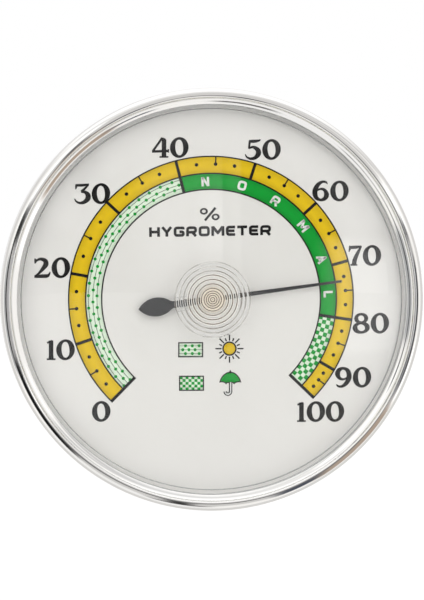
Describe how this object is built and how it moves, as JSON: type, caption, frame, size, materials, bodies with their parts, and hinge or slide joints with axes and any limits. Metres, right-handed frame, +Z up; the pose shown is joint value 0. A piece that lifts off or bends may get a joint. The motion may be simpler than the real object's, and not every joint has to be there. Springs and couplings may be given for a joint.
{
  "type": "dial hygrometer",
  "caption": "Round wall-hanging dial hygrometer with a chrome bezel, clear domed lens, printed percentage dial and a coil-driven pointer.",
  "frame": {"origin": "centre of the bounding box, on the spindle axis at half depth", "axes": "+Z up the dial, the dial faces -Y, +Y into the wall, +X to the reader's right"},
  "size_m": [0.13, 0.023, 0.13],
  "materials": {
    "bezel_chrome": "polished",
    "case_plastic": "fine grain",
    "clear_lens": "clear, polished",
    "gasket_rubber": "matte",
    "dial_print": "printed, satin",
    "brass": "turned",
    "steel": "bright",
    "black_paint": "satin",
    "coil_film": "coated strip"
  },
  "bodies": {
    "case": {"rear_case": "case_plastic", "bezel_ring": "bezel_chrome", "lens": "clear_lens", "lens_gasket": "gasket_rubber", "dial_plate": "dial_print", "movement_rear_plate": "brass", "movement_front_plate": "brass", "front_bush": "brass", "movement_pillar_1": "brass", "front_screw_1": "steel", "case_screw_1": "steel", "movement_pillar_2": "brass", "front_screw_2": "steel", "case_screw_2": "steel", "movement_pillar_3": "brass", "front_screw_3": "steel", "case_screw_3": "steel"},
    "calibrator": {"calibration_stem": "brass", "friction_washer": "steel", "calibration_arm": "brass", "coil_stud": "brass", "humidity_coil": "coil_film"},
    "pointer": {"spindle": "steel", "coil_collet": "brass", "pointer_boss": "brass", "pointer_collar": "brass", "pointer": "black_paint"}
  },
  "joints": [
    {"name": "calibration_turn", "type": "hinge", "parent": "case", "child": "calibrator", "pos_m": [0, 0, 0], "axis": [0, 1, 0], "range_deg": [-20, 20]},
    {"name": "pointer_turn", "type": "hinge", "parent": "calibrator", "child": "pointer", "pos_m": [0, 0, 0], "axis": [0, 1, 0], "range_deg": [-217.8, 51.7], "stiffness_Nm_per_rad": 0.0003}
  ]
}
